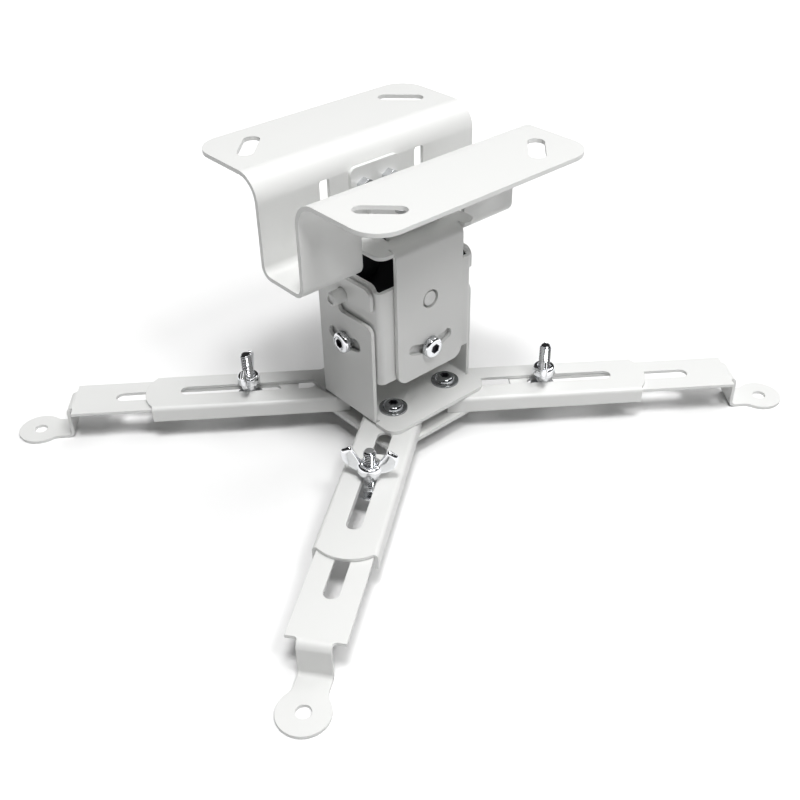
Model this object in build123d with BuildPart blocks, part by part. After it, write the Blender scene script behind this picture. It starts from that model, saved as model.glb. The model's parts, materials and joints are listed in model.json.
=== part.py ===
from build123d import *
import math
import os

# Projector ceiling mount in millimetres, standing on its four feet.
# The origin is on the floor under the middle of the mount, and Z points up to the ceiling.
# X runs along the channel of the ceiling plate and Y across it.

os.makedirs("parts", exist_ok=True)

# Sheets
sheet = 2.0
bracket_sheet = 2.0
arm_sheet = 1.6

# Fits
turn_fit = 0.08
drill_fit = 0.1
face_gap = 0.1
slide_gap = 0.3
swing_gap = 0.5
leg_gap = 0.7
hook_fit = 0.4
bend_relief = 1.0

# Ceiling plate
plate_length = 130.0
plate_width = 130.0
flange_corner = 14.0
channel_width = 31.0
channel_depth = 48.0
flange_bend = 10.4
web_bend = 4.0
ceiling_slot_circle = 65.0
ceiling_slot_length = 23.0
ceiling_slot_width = 7.8
tongue_width = 51.6
tongue_corner = 2.0
window_play = 1.6
window_corner = 1.5
window_drop = 11.5

# Cheeks
ledge_rise = 12.0
tongue_gap = 4.0
tab_width = 30.0
tab_height = 26.0
tab_corner = 3.5
tab_bend = 1.5
ledge_overhang = 0.2
ledge_corner = 5.0
ear_setback = 0.5
ear_gap = 8.0
cheek_width = 42.0
cheek_bend = 2.5
cheek_drop = 41.0
cheek_corner = 6.0
cheek_bolt_spacing = 15.2
cheek_bolt_rise = 15.8

# Tilt box
box_width = 59.6
box_depth = 47.2
box_rise = 15.1
box_drop = 38.0
box_corner = 3.0
wall_drop = 2.9
end_corner = 4.8

# Tilt and roll axes
roll_axis_height = 65.7
axis_step = 4.0
axis_to_web = 19.5
tilt_pin_radius = 4.7
tilt_pin_recess = 0.5
pin_dimple_radius = 2.0
pin_dimple_depth = 0.5
roll_stud_radius = 3.6
roll_stud_proud = 7.0
stud_chamfer = 0.6
stud_recess_radius = 2.3
stud_recess_depth = 0.8
pin_flange_radius = 7.0
pin_flange_height = 2.0
tilt_slot_radius = 26.5
tilt_slot_half_angle = 24.8
tilt_slot_width = 5.6
roll_slot_radius = 25.8
roll_slot_half_angle = 19.0
roll_slot_width = 7.0

# Lower bracket and clamp plate
base_depth = 69.0
base_corner = 6.5
leg_front = 20.5
leg_rear = 18.6
leg_bend = 0.8
leg_rise = 9.7
leg_corner = 4.8
shoulder_drop = 10.2
shoulder_corner = 4.0
shoulder_fillet = 3.5
hook_drop = 1.5
hook_tip = 1.2

# Arms
pivot_pitch = 35.6
arm_angle = 37.1
arm_slot_width = 7.0
arm_bend = 0.5
inner_arm_width = 29.2
inner_arm_depth = 8.3
inner_arm_length = 101.3
inner_arm_crown = 4.6
inner_slot_start = 17.8
inner_slot_end = 87.8
outer_arm_reach = 168.5
outer_arm_tail = 20.6
outer_arm_top = 18.8
outer_slot_lead = 11.5
outer_slot_margin = 42.5
foot_riser = 17.5
foot_bend = 2.0
foot_width = 14.6
foot_root_fillet = 1.5
foot_neck_fillet = 6.0
eyelet_radius = 11.2
eyelet_hole_radius = 3.3
clamp_station = 52.0
pull_out = {"front_left": 1.3, "front_right": 3.2, "rear_left": -4.7, "rear_right": 0.0}
nut_turn = {"front_left": 0.0, "front_right": -13.0, "rear_left": -7.0, "rear_right": 0.0}

# Fasteners
m5_radius = 2.5
m5_head_radius = 4.75
m5_head_height = 2.75
m5_socket_width = 3.0
m5_socket_depth = 1.6
m5_nut_width = 8.0
m5_nut_height = 4.0
m5_washer_radius = 5.5
m5_washer_height = 1.0
m6_radius = 3.0
m6_head_radius = 6.5
m6_head_height = 3.3
arm_screw_head_radius = 7.2
arm_screw_head_height = 3.4
m6_neck_width = 6.2
m6_neck_height = 1.8
m6_nut_width = 10.0
m6_nut_height = 5.0
bolt_end = 1.0
clamp_bolt_length = 24.2
loose_bolt_drop = 5.0

# Wing nuts
wing_hub_foot_radius = 4.0
wing_hub_foot_height = 3.0
wing_hub_radius = 6.0
wing_hub_height = 8.2
wing_span = 27.4
wing_tip_height = 14.6
wing_top_height = 17.0
wing_top_inset = 5.0
wing_heel_height = 5.4
wing_heel_inset = 1.4
wing_thickness = 3.2
wing_round = 1.5

# Levels, from the floor up
inner_arm_top = outer_arm_top + slide_gap + arm_sheet
inner_arm_underside = inner_arm_top - inner_arm_depth
clamp_plate_top = inner_arm_underside - face_gap
base_underside = inner_arm_top + face_gap
base_top = base_underside + bracket_sheet
roll_z = base_underside + roll_axis_height
tilt_z = roll_z - axis_step
box_top = tilt_z + box_rise
box_bottom = tilt_z - box_drop
web_underside = tilt_z + axis_to_web
flange_top = web_underside + channel_depth
flange_underside = flange_top - sheet
ledge_top = web_underside + ledge_rise
tongue_end = ledge_top + tongue_gap
window_top = flange_top - window_drop
cheek_bottom = tilt_z - cheek_drop
tilt_bolt_z = tilt_z - tilt_slot_radius
roll_bolt_z = roll_z - roll_slot_radius

# Faces across the mount
wall_outside = channel_width / 2
wall_inside = wall_outside - sheet
cheek_inside = box_depth / 2 + swing_gap
cheek_outside = cheek_inside + sheet
leg_inside = box_width / 2 + leg_gap
leg_outside = leg_inside + bracket_sheet
base_width = 2 * leg_outside
ledge_width = box_width + 2 * ledge_overhang
window_width = ledge_width + 2 * window_play


def folded_sheet(plane, face_line, bends, thickness):
    """Sketch a folded sheet seen on edge: one face follows the line and the sheet lies on its left."""
    with BuildSketch(plane) as edge:
        with BuildLine():
            FilletPolyline(*face_line, radius=bends)
            offset(amount=thickness, side=Side.LEFT)
        make_face()
    return edge.sketch


def corner(sketch, x, y):
    """The vertex of a sketch that is nearest to a point of its plane."""
    return sketch.vertices().sort_by_distance((x, y))[0]


def domed_bolt(radius, length, head_radius, head_height):
    """A bolt with its head standing on the XY plane and its shank below."""
    with BuildPart() as bolt:
        with BuildSketch(Plane.XZ):
            with BuildLine():
                Polyline((0, head_height), (0, -length), (radius, -length), (radius, 0), (head_radius, 0))
                TangentArc((0, head_height), (head_radius, 0), tangent=(1, 0))
            make_face()
        revolve(axis=Axis.Z)
    return bolt.part


def socket_bolt(length):
    """An M5 button-head bolt with a hexagon socket."""
    with BuildPart() as bolt:
        add(domed_bolt(m5_radius, length, m5_head_radius, m5_head_height))
        with BuildSketch(Plane.XY.offset(m5_head_height)):
            RegularPolygon(m5_socket_width / 2, 6, major_radius=False)
        extrude(amount=-m5_socket_depth, mode=Mode.SUBTRACT)
    return bolt.part


def hexagon_nut(width, height, thread_radius):
    """A nut that stands on the XY plane."""
    with BuildPart() as nut:
        with BuildSketch(Plane.XY):
            RegularPolygon(width / 2, 6, major_radius=False)
            Circle(thread_radius + turn_fit, mode=Mode.SUBTRACT)
        extrude(amount=height)
    return nut.part


def flanged_pin(radius, length):
    """A pin that rises from a flange under the XY plane."""
    with BuildPart() as pin:
        with BuildSketch(Plane.XY):
            Circle(radius)
        extrude(amount=length)
        with BuildSketch(Plane.XY):
            Circle(pin_flange_radius)
        extrude(amount=-pin_flange_height)
    return pin.part


def facing(x, y, z, out_x, out_y):
    """A place at a point, with its Z axis pointing level and outwards."""
    return Plane(origin=(x, y, z), x_dir=(0, 0, 1), z_dir=(out_x, out_y, 0))


def keep(name, part):
    """Label a finished piece and write it."""
    part.label = name
    export_step(part, f"parts/{name}.step")


# Ceiling plate: a hat section with the flanges on top, windows and slots cut after folding
with BuildPart() as ceiling_plate:
    fold = folded_sheet(
        Plane.YZ,
        [
            (-plate_width / 2, flange_underside),
            (-wall_outside, flange_underside),
            (-wall_outside, web_underside),
            (wall_outside, web_underside),
            (wall_outside, flange_underside),
            (plate_width / 2, flange_underside),
        ],
        [flange_bend, web_bend + sheet, web_bend + sheet, flange_bend],
        sheet,
    )
    extrude(fold, amount=plate_length / 2, both=True)
    flange_corners = ceiling_plate.edges().filter_by(Axis.Z).group_by(SortBy.DISTANCE)[-1]
    fillet(flange_corners, flange_corner)
    with BuildSketch(Plane.XY.offset(flange_top)):
        with PolarLocations(ceiling_slot_circle, 4, start_angle=45):
            SlotOverall(ceiling_slot_length, ceiling_slot_width, rotation=90)
    extrude(amount=-2 * sheet, mode=Mode.SUBTRACT)
    with BuildSketch(Plane.XZ):
        with BuildLine():
            FilletPolyline(
                (-window_width / 2, web_underside - sheet),
                (-window_width / 2, window_top),
                (-tongue_width / 2, window_top),
                (-tongue_width / 2, tongue_end),
                (tongue_width / 2, tongue_end),
                (tongue_width / 2, window_top),
                (window_width / 2, window_top),
                (window_width / 2, web_underside - sheet),
                radius=[window_corner] * 2 + [tongue_corner] * 2 + [window_corner] * 2,
            )
            Line((-window_width / 2, web_underside - sheet), (window_width / 2, web_underside - sheet))
        make_face()
    extrude(amount=channel_width, both=True, mode=Mode.SUBTRACT)
    with BuildSketch(Plane.XZ):
        with Locations((0, ledge_top + cheek_bolt_rise)):
            with GridLocations(cheek_bolt_spacing, 0, 2, 1):
                Circle(m5_radius + drill_fit)
    extrude(amount=channel_width, both=True, mode=Mode.SUBTRACT)

# Front cheek: tab inside the channel wall, ledge through the window, leg outside the tilt box
ledge_underside = ledge_top - sheet
tab_bend_end = wall_inside + tab_bend
leg_bend_start = cheek_inside - cheek_bend
tilt_slot_start = 270 - tilt_slot_half_angle
tilt_slot_line = CenterArc((0, tilt_z), tilt_slot_radius, tilt_slot_start, 2 * tilt_slot_half_angle)

with BuildPart() as front_cheek:
    fold = folded_sheet(
        Plane.YZ,
        [
            (-wall_inside, ledge_top + tab_height),
            (-wall_inside, ledge_top),
            (-cheek_outside, ledge_top),
            (-cheek_outside, cheek_bottom),
        ],
        [tab_bend, cheek_bend + sheet],
        sheet,
    )
    extrude(fold, amount=cheek_width / 2, both=True)
    with BuildSketch(Plane.XY.offset(ledge_underside)):
        with Locations((0, -tab_bend_end)):
            Rectangle(cheek_width, tab_bend + 2 * sheet, align=(Align.CENTER, Align.MIN))
            Rectangle(tab_width, tab_bend + 2 * sheet, align=(Align.CENTER, Align.MIN), mode=Mode.SUBTRACT)
    extrude(amount=tab_height + 2 * sheet, mode=Mode.SUBTRACT)
    fillet(front_cheek.edges().filter_by(Axis.Y).group_by(Axis.Z)[-1], tab_corner)
    fillet(front_cheek.edges().filter_by(Axis.Y).group_by(Axis.Z)[0], cheek_corner)
    with BuildSketch(Plane.XY.offset(ledge_underside)) as ears:
        ear_reach = cheek_outside - ear_setback
        with Locations((0, -tab_bend_end)):
            Rectangle(ledge_width, ear_reach - tab_bend_end, align=(Align.CENTER, Align.MAX))
        fillet([corner(ears, side * ledge_width / 2, -ear_reach) for side in (-1, 1)], ledge_corner)
        with Locations((0, -leg_bend_start)):
            Rectangle(
                cheek_width + 2 * bend_relief,
                cheek_outside,
                align=(Align.CENTER, Align.MAX),
                mode=Mode.SUBTRACT,
            )
        with Locations((0, -tab_bend_end)):
            inner_reach = tab_bend_end - ear_gap / 2
            Rectangle(ledge_width, inner_reach, align=(Align.CENTER, Align.MIN))
            Rectangle(
                tab_width + 2 * bend_relief,
                inner_reach,
                align=(Align.CENTER, Align.MIN),
                mode=Mode.SUBTRACT,
            )
    extrude(amount=sheet)
    with BuildSketch(Plane.XZ):
        with Locations((0, ledge_top + cheek_bolt_rise)):
            with GridLocations(cheek_bolt_spacing, 0, 2, 1):
                Circle(m5_radius + drill_fit)
        with Locations((0, tilt_z)):
            Circle(tilt_pin_radius + turn_fit)
        SlotArc(tilt_slot_line, tilt_slot_width)
    extrude(amount=cheek_outside, mode=Mode.SUBTRACT)

with BuildPart() as rear_cheek:
    mirror(front_cheek.part, about=Plane.XZ)

# Tilt box: open on top, its rounded end walls higher than the front and rear walls
box_height = box_top - box_bottom
with BuildPart() as tilt_box:
    with BuildSketch(Plane.XY.offset(box_bottom)):
        RectangleRounded(box_width, box_depth, box_corner)
    extrude(amount=box_height)
    with BuildSketch(Plane.XY.offset(box_bottom + sheet)):
        RectangleRounded(box_width - 2 * sheet, box_depth - 2 * sheet, box_corner - sheet)
    extrude(amount=box_height, mode=Mode.SUBTRACT)
    end_wall_width = box_depth - 2 * box_corner
    with BuildSketch(Plane.YZ):
        with Locations((0, box_top)):
            Rectangle(box_depth, wall_drop, align=(Align.CENTER, Align.MAX))
        with BuildSketch(mode=Mode.PRIVATE) as end_wall:
            with Locations((0, box_top)):
                Rectangle(end_wall_width, 2 * end_corner, align=(Align.CENTER, Align.MAX))
            fillet([corner(end_wall, side * end_wall_width / 2, box_top) for side in (-1, 1)], end_corner)
        add(end_wall.sketch_local, mode=Mode.SUBTRACT)
    extrude(amount=box_width, both=True, mode=Mode.SUBTRACT)
    with BuildSketch(Plane.XZ):
        with Locations((0, tilt_z)):
            Circle(tilt_pin_radius + drill_fit)
        with Locations((0, tilt_bolt_z)):
            Circle(m5_radius + drill_fit)
    extrude(amount=box_depth, both=True, mode=Mode.SUBTRACT)
    with BuildSketch(Plane.YZ):
        with Locations((0, roll_z)):
            Circle(roll_stud_radius + drill_fit)
        with Locations((0, roll_bolt_z)):
            Circle(m5_radius + drill_fit)
    extrude(amount=box_width, both=True, mode=Mode.SUBTRACT)

# Lower bracket: base plate with two legs folded up, each with a slot from the front that hooks over its stud
seat_radius = roll_stud_radius + hook_fit
leg_top = roll_z + leg_rise
hook_underside = roll_z - hook_drop
shoulder_z = roll_z - shoulder_drop
leg_cut_bottom = shoulder_z - 2 * shoulder_corner
leg_width = leg_front + leg_rear
leg_middle = (leg_rear - leg_front) / 2
leg_bend_inside = leg_outside - bracket_sheet - leg_bend
roll_slot_start = 270 - roll_slot_half_angle
roll_slot_line = CenterArc((0, roll_z), roll_slot_radius, roll_slot_start, 2 * roll_slot_half_angle)
pivots = GridLocations(pivot_pitch, pivot_pitch, 2, 2).locations

with BuildPart() as lower_bracket:
    fold = folded_sheet(
        Plane.XZ,
        [
            (-leg_outside, leg_top),
            (-leg_outside, base_underside),
            (leg_outside, base_underside),
            (leg_outside, leg_top),
        ],
        leg_bend + bracket_sheet,
        bracket_sheet,
    )
    extrude(fold, amount=leg_front)
    extrude(fold, amount=-leg_rear)
    with BuildSketch(Plane.XY.offset(base_underside)):
        RectangleRounded(base_width, base_depth, base_corner)
        with Locations((leg_bend_inside, leg_middle), (-base_width, leg_middle)):
            Rectangle(
                base_width - leg_bend_inside,
                leg_width + 2 * bend_relief,
                align=(Align.MIN, Align.CENTER),
                mode=Mode.SUBTRACT,
            )
    extrude(amount=bracket_sheet)
    with BuildSketch(Plane.YZ):
        with Locations((leg_middle, leg_top)):
            Rectangle(leg_width, leg_top - leg_cut_bottom, align=(Align.CENTER, Align.MAX))
        with BuildSketch(mode=Mode.PRIVATE) as leg_head:
            with BuildLine():
                Polyline(
                    (-seat_radius, roll_z),
                    (-seat_radius, hook_underside),
                    (-leg_front, hook_underside),
                    (-leg_front, leg_top),
                    (leg_rear, leg_top),
                    (leg_rear, leg_cut_bottom),
                    (-leg_front, leg_cut_bottom),
                    (-leg_front, shoulder_z),
                    (seat_radius, shoulder_z),
                    (seat_radius, roll_z),
                )
                CenterArc((0, roll_z), seat_radius, 0, 180)
            make_face()
            fillet([corner(leg_head, edge, leg_top) for edge in (-leg_front, leg_rear)], leg_corner)
            fillet([corner(leg_head, -edge, hook_underside) for edge in (seat_radius, leg_front)], hook_tip)
            fillet(corner(leg_head, -leg_front, shoulder_z), shoulder_corner)
            fillet(corner(leg_head, seat_radius, shoulder_z), shoulder_fillet)
        add(leg_head.sketch_local, mode=Mode.SUBTRACT)
    extrude(amount=base_width, both=True, mode=Mode.SUBTRACT)
    with BuildSketch(Plane.YZ):
        SlotArc(roll_slot_line, roll_slot_width)
    extrude(amount=base_width, both=True, mode=Mode.SUBTRACT)
    with BuildSketch(Plane.XY.offset(base_underside)):
        with Locations(*pivots):
            Circle(m6_radius + drill_fit)
    extrude(amount=bracket_sheet, mode=Mode.SUBTRACT)

with BuildPart() as clamp_plate:
    with BuildSketch(Plane.XY.offset(clamp_plate_top)):
        RectangleRounded(base_width, base_depth, base_corner)
        with Locations(*pivots):
            Circle(m6_radius + drill_fit, mode=Mode.SUBTRACT)
    extrude(amount=-sheet)

# Cheek bolts and nuts: heads on the channel walls, nuts on the tabs inside
cheek_bolt_z = ledge_top + cheek_bolt_rise
tab_inside = wall_inside - sheet
cheek_bolt = socket_bolt(2 * sheet + m5_nut_height + bolt_end)
m5_nut = hexagon_nut(m5_nut_width, m5_nut_height, m5_radius)
cheek_bolt_sides = [(x, side) for x in (-cheek_bolt_spacing / 2, cheek_bolt_spacing / 2) for side in (-1, 1)]

with BuildPart() as cheek_bolts:
    with Locations(*[facing(x, side * wall_outside, cheek_bolt_z, 0, side) for x, side in cheek_bolt_sides]):
        add(cheek_bolt)

with BuildPart() as cheek_nuts:
    with Locations(*[facing(x, side * tab_inside, cheek_bolt_z, 0, -side) for x, side in cheek_bolt_sides]):
        add(m5_nut)

# Tilt pins and roll studs, flanged inside the box
tilt_pin_length = cheek_outside - tilt_pin_recess - box_depth / 2 + sheet
roll_stud_length = leg_outside + roll_stud_proud - box_width / 2 + sheet
box_inside_x = box_width / 2 - sheet
box_inside_y = box_depth / 2 - sheet

with BuildPart() as tilt_pin:
    add(flanged_pin(tilt_pin_radius, tilt_pin_length))
    with BuildSketch(Plane.XY.offset(tilt_pin_length)):
        Circle(pin_dimple_radius)
    extrude(amount=-pin_dimple_depth, mode=Mode.SUBTRACT)

with BuildPart() as tilt_pins:
    with Locations(*[facing(0, side * box_inside_y, tilt_z, 0, side) for side in (-1, 1)]):
        add(tilt_pin.part)

with BuildPart() as roll_stud:
    add(flanged_pin(roll_stud_radius, roll_stud_length))
    chamfer(roll_stud.edges().filter_by(GeomType.CIRCLE).group_by(Axis.Z)[-1], stud_chamfer)
    with BuildSketch(Plane.XY.offset(roll_stud_length)):
        Circle(stud_recess_radius)
    extrude(amount=-stud_recess_depth, mode=Mode.SUBTRACT)

with BuildPart() as roll_studs:
    with Locations(*[facing(side * box_inside_x, 0, roll_z, side, 0) for side in (-1, 1)]):
        add(roll_stud.part)

# Clamp bolts of the tilt and roll slots, each with a washer outside and a nut in the box
tilt_washer_y = cheek_outside + face_gap
roll_washer_x = leg_outside + face_gap
tilt_head_y = tilt_washer_y + m5_washer_height
roll_head_x = roll_washer_x + m5_washer_height
tilt_bolt = socket_bolt(tilt_head_y - box_inside_y + m5_nut_height + bolt_end)
roll_bolt = socket_bolt(roll_head_x - box_inside_x + m5_nut_height + bolt_end)

with BuildPart() as m5_washer:
    with BuildSketch(Plane.XY):
        Circle(m5_washer_radius)
        Circle(m5_radius + drill_fit, mode=Mode.SUBTRACT)
    extrude(amount=m5_washer_height)

with BuildPart() as tilt_clamp_bolts:
    with Locations(*[facing(0, side * tilt_head_y, tilt_bolt_z, 0, side) for side in (-1, 1)]):
        add(tilt_bolt)

with BuildPart() as tilt_clamp_washers:
    with Locations(*[facing(0, side * tilt_washer_y, tilt_bolt_z, 0, side) for side in (-1, 1)]):
        add(m5_washer.part)

with BuildPart() as tilt_clamp_nuts:
    with Locations(*[facing(0, side * box_inside_y, tilt_bolt_z, 0, -side) for side in (-1, 1)]):
        add(m5_nut)

with BuildPart() as roll_clamp_bolts:
    with Locations(*[facing(side * roll_head_x, 0, roll_bolt_z, side, 0) for side in (-1, 1)]):
        add(roll_bolt)

with BuildPart() as roll_clamp_washers:
    with Locations(*[facing(side * roll_washer_x, 0, roll_bolt_z, side, 0) for side in (-1, 1)]):
        add(m5_washer.part)

with BuildPart() as roll_clamp_nuts:
    with Locations(*[facing(side * box_inside_x, 0, roll_bolt_z, -side, 0) for side in (-1, 1)]):
        add(m5_nut)

# Arm screws through the base, the arm and the clamp plate, with nuts below
clamp_plate_underside = clamp_plate_top - sheet
arm_screw = domed_bolt(
    m6_radius,
    base_top - clamp_plate_underside + m6_nut_height + bolt_end,
    arm_screw_head_radius,
    arm_screw_head_height,
)
m6_nut = hexagon_nut(m6_nut_width, m6_nut_height, m6_radius)

with BuildPart() as arm_screws:
    with Locations(Plane.XY.offset(base_top)):
        with GridLocations(pivot_pitch, pivot_pitch, 2, 2):
            add(arm_screw)

with BuildPart() as arm_nuts:
    with Locations(Plane.XY.offset(clamp_plate_underside - m6_nut_height)):
        with GridLocations(pivot_pitch, pivot_pitch, 2, 2):
            add(m6_nut)

# Inner arm, drawn along X from its swivel screw: an inverted channel with a rounded top at both ends
inner_half = inner_arm_width / 2
with BuildPart() as inner_arm:
    fold = folded_sheet(
        Plane.YZ,
        [
            (inner_half, inner_arm_underside),
            (inner_half, inner_arm_top),
            (-inner_half, inner_arm_top),
            (-inner_half, inner_arm_underside),
        ],
        arm_bend + arm_sheet,
        arm_sheet,
    )
    extrude(fold, amount=inner_arm_length)
    with BuildSketch(Plane.XY.offset(inner_arm_top)):
        Circle(inner_half - arm_bend - arm_sheet)
        with BuildLine():
            crown_half = inner_half - arm_bend - arm_sheet
            Line((inner_arm_length, crown_half), (inner_arm_length, -crown_half))
            ThreePointArc(
                (inner_arm_length, -crown_half),
                (inner_arm_length + inner_arm_crown, 0),
                (inner_arm_length, crown_half),
            )
        make_face()
    extrude(amount=-arm_sheet)
    with BuildSketch(Plane.XY.offset(inner_arm_top)):
        Circle(m6_radius + turn_fit)
        with Locations(((inner_slot_start + inner_slot_end) / 2, 0)):
            SlotOverall(inner_slot_end - inner_slot_start, arm_slot_width)
    extrude(amount=-arm_sheet, mode=Mode.SUBTRACT)

# Outer arm: a flat bar inside the inner one, stepped down at its end to a foot with an eyelet
outer_half = inner_half - arm_sheet - slide_gap
outer_arm_start = clamp_station - outer_arm_tail
outer_slot_start = clamp_station - outer_slot_lead
outer_slot_end = outer_arm_reach - outer_slot_margin
outer_arm_end = outer_arm_reach - foot_riser - foot_bend - arm_sheet
riser_inside = outer_arm_reach - foot_riser - arm_sheet
with BuildPart() as outer_arm:
    with BuildSketch(Plane.XY.offset(outer_arm_top)):
        with Locations((outer_arm_start, 0)):
            Rectangle(outer_arm_end - outer_arm_start, 2 * outer_half, align=(Align.MIN, Align.CENTER))
        with Locations(((outer_slot_start + outer_slot_end) / 2, 0)):
            SlotOverall(outer_slot_end - outer_slot_start, arm_slot_width, mode=Mode.SUBTRACT)
    extrude(amount=-arm_sheet)

with BuildPart() as foot:
    fold = folded_sheet(
        Plane.XZ,
        [
            (outer_arm_end - arm_sheet, outer_arm_top - arm_sheet),
            (riser_inside, outer_arm_top - arm_sheet),
            (riser_inside, 0),
            (outer_arm_reach + eyelet_radius, 0),
        ],
        [foot_bend, foot_bend + arm_sheet],
        arm_sheet,
    )
    extrude(fold, amount=outer_half, both=True)
    with BuildSketch(Plane.XY) as foot_outline:
        foot_length = outer_arm_reach - outer_arm_end + arm_sheet
        with Locations((outer_arm_reach, 0)):
            Rectangle(foot_length, foot_width, align=(Align.MAX, Align.CENTER))
            Circle(eyelet_radius)
        neck = outer_arm_reach - math.sqrt(eyelet_radius**2 - (foot_width / 2) ** 2)
        fillet([corner(foot_outline, neck, side * foot_width / 2) for side in (-1, 1)], foot_neck_fillet)
        with BuildSketch(mode=Mode.PRIVATE) as root:
            with Locations((outer_arm_end, 0)):
                root_width = foot_width + 2 * foot_root_fillet
                Rectangle(foot_root_fillet, root_width, align=(Align.MIN, Align.CENTER))
            with Locations(
                (outer_arm_end + foot_root_fillet, root_width / 2),
                (outer_arm_end + foot_root_fillet, -root_width / 2),
            ):
                Circle(foot_root_fillet, mode=Mode.SUBTRACT)
        add(root.sketch_local)
        with Locations((outer_arm_reach, 0)):
            Circle(eyelet_hole_radius, mode=Mode.SUBTRACT)
    extrude(amount=outer_arm_top, mode=Mode.INTERSECT)

with BuildPart() as whole_outer_arm:
    add(outer_arm.part)
    add(foot.part)

# Clamp bolt: its square neck sits in the outer arm's slot and keeps it from turning
clamp_head_top = outer_arm_top - arm_sheet - face_gap / 2
with BuildPart() as clamp_bolt:
    with Locations(Location((clamp_station, 0, clamp_head_top), (180, 0, 0))):
        add(domed_bolt(m6_radius, clamp_bolt_length, m6_head_radius, m6_head_height))
    with BuildSketch(Plane.XY.offset(clamp_head_top)):
        with Locations((clamp_station, 0)):
            Rectangle(m6_neck_width, m6_neck_width)
    extrude(amount=m6_neck_height)

# Wing nut: a turned hub with two flat wings that rise outwards across the arm
wing_seat = inner_arm_top + face_gap / 2
wing_tip = wing_span / 2
with BuildPart() as wing_nut:
    with BuildSketch(Plane.YZ):
        for side in (-1, 1):
            with BuildLine():
                FilletPolyline(
                    (side * m6_radius, wing_hub_foot_height),
                    (side * (wing_tip - wing_heel_inset), wing_heel_height),
                    (side * wing_tip, wing_tip_height),
                    (side * (wing_tip - wing_top_inset), wing_top_height),
                    (side * m6_radius, wing_hub_height),
                    radius=[2 * wing_round, wing_round, wing_round],
                )
                Line((side * m6_radius, wing_hub_height), (side * m6_radius, wing_hub_foot_height))
            make_face()
    extrude(amount=wing_thickness / 2, both=True)
    with BuildSketch(Plane.XZ):
        with BuildLine():
            Polyline(
                (0, 0),
                (wing_hub_foot_radius, 0),
                (wing_hub_foot_radius, wing_hub_foot_height),
                (wing_hub_radius, wing_hub_foot_height + wing_hub_radius - wing_hub_foot_radius),
                (wing_hub_foot_radius, wing_hub_height),
                (0, wing_hub_height),
                close=True,
            )
        make_face()
    revolve(axis=Axis.Z)
    with BuildSketch(Plane.XY):
        Circle(m6_radius + turn_fit)
    extrude(amount=wing_top_height, mode=Mode.SUBTRACT)

# The four arms, each turned about its swivel screw and pulled out a little more or less than the others
arm_sides = {
    "front_left": (-1, -1),
    "front_right": (1, -1),
    "rear_left": (-1, 1),
    "rear_right": (1, 1),
}
loose_bolt = "front_left"

for arm_name, (side_x, side_y) in arm_sides.items():
    heading = side_y * (arm_angle if side_x > 0 else 180 - arm_angle)
    arm_place = Location((side_x * pivot_pitch / 2, side_y * pivot_pitch / 2, 0), (0, 0, heading))
    bolt_drop = loose_bolt_drop if arm_name == loose_bolt else 0
    pulled_out = Location((pull_out[arm_name], 0, 0))
    nut_place = Location((clamp_station, 0, wing_seat), (0, 0, nut_turn[arm_name]))
    keep(f"inner_arm_{arm_name}", inner_arm.part.moved(arm_place))
    keep(f"outer_arm_{arm_name}", whole_outer_arm.part.moved(arm_place * pulled_out))
    keep(f"clamp_bolt_{arm_name}", clamp_bolt.part.moved(arm_place * Location((0, 0, -bolt_drop))))
    keep(f"wing_nut_{arm_name}", wing_nut.part.moved(arm_place * nut_place))

keep("ceiling_plate", ceiling_plate.part)
keep("front_cheek", front_cheek.part)
keep("rear_cheek", rear_cheek.part)
keep("cheek_bolts", cheek_bolts.part)
keep("cheek_nuts", cheek_nuts.part)
keep("tilt_box", tilt_box.part)
keep("tilt_pins", tilt_pins.part)
keep("tilt_clamp_bolts", tilt_clamp_bolts.part)
keep("tilt_clamp_washers", tilt_clamp_washers.part)
keep("tilt_clamp_nuts", tilt_clamp_nuts.part)
keep("roll_studs", roll_studs.part)
keep("roll_clamp_bolts", roll_clamp_bolts.part)
keep("roll_clamp_washers", roll_clamp_washers.part)
keep("roll_clamp_nuts", roll_clamp_nuts.part)
keep("lower_bracket", lower_bracket.part)
keep("clamp_plate", clamp_plate.part)
keep("arm_screws", arm_screws.part)
keep("arm_nuts", arm_nuts.part)
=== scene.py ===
# %% [markdown]
# # A white projector ceiling mount
# The mount hangs a projector under a ceiling: a folded channel is screwed up, a small box below it tilts
# and rolls, and four telescopic arms reach out to the projector. The solids come from a CAD model, so
# this lesson only loads them, gives every surface its finish, and replaces the small parts whose shape a
# CAD sketch leaves plain: socket heads, pin ends, threads and cast wings.

# %% Load the frame
import json
import math

import bpy
import numpy as np
from mathutils import Matrix, Vector


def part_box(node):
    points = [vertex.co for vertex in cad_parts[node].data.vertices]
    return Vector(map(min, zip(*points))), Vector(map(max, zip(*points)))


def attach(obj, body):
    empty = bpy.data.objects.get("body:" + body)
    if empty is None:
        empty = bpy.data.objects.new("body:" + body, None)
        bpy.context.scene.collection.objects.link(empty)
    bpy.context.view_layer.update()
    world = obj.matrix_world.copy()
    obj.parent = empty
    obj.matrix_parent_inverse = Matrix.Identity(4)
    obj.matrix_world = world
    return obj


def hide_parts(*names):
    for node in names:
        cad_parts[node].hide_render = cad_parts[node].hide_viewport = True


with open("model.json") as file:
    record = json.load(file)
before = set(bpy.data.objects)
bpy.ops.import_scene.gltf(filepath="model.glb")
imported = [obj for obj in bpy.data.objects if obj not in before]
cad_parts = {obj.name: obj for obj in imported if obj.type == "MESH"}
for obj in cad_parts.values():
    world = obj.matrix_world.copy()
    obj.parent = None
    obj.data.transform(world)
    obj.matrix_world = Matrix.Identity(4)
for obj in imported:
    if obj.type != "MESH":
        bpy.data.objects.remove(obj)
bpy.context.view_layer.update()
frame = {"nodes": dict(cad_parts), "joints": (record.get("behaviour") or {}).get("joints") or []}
nodes = frame["nodes"]
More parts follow.
